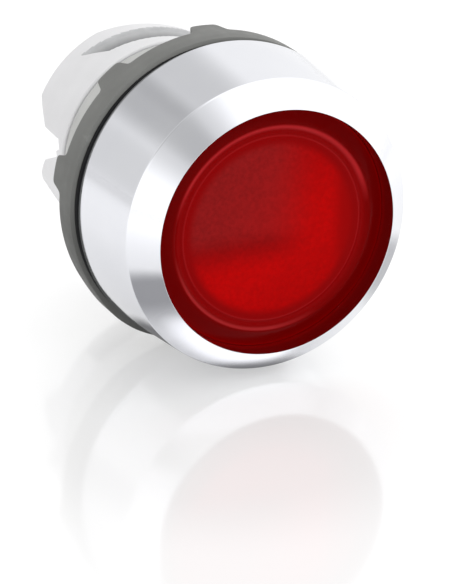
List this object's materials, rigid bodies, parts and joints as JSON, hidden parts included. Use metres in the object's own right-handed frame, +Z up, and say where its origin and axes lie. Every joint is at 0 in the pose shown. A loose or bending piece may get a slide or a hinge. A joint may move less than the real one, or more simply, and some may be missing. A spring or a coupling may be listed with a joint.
{
  "type": "industrial push button",
  "caption": "Flush round push-button head for a control panel: chrome bevelled bezel, red illuminated lens, grey panel collar and white bayonet shank, with a sprung plunger.",
  "frame": {"origin": "centre of the panel hole, in the plane of the panel's front surface", "axes": "+Y along the button's axis, into the panel; +Z up; +X to the right seen from in front of the panel"},
  "size_m": [0.0298, 0.0318, 0.0294],
  "materials": {
    "chrome": "polished chrome plate",
    "black_rubber": "matte black elastomer",
    "natural_plastic": "satin, slightly translucent, uncoloured",
    "grey_plastic": "fine matte grey moulding",
    "grey_rubber": "matte dark grey elastomer",
    "white_plastic": "satin white moulding",
    "spring_steel": "drawn spring wire",
    "red_lens": "glossy transparent red",
    "milky_plastic": "milky translucent diffuser",
    "clear_plastic": "clear polished light guide"
  },
  "bodies": {
    "housing": {"bezel_ring": "chrome", "front_o_ring": "black_rubber", "bezel_gasket": "black_rubber", "operator_body": "natural_plastic", "panel_collar": "grey_plastic", "panel_seal": "grey_rubber", "bayonet_collar": "white_plastic", "lip_seal": "black_rubber", "seal_retainer": "white_plastic", "guide_plate": "natural_plastic", "guide_snap_ring": "spring_steel", "return_spring": "spring_steel"},
    "plunger": {"lens_cap": "red_lens", "legend_insert": "milky_plastic", "diffuser": "milky_plastic", "lens_seal": "black_rubber", "lens_holder": "white_plastic", "light_guide": "clear_plastic", "plunger_tube": "white_plastic", "thrust_collar": "white_plastic"}
  },
  "joints": [
    {"name": "button_press", "type": "slide", "parent": "housing", "child": "plunger", "axis": [0, 1, 0], "range_m": [0, 0.0043], "stiffness_N_per_m": 420, "springref_m": -0.0045, "deforming": ["return_spring"]}
  ]
}
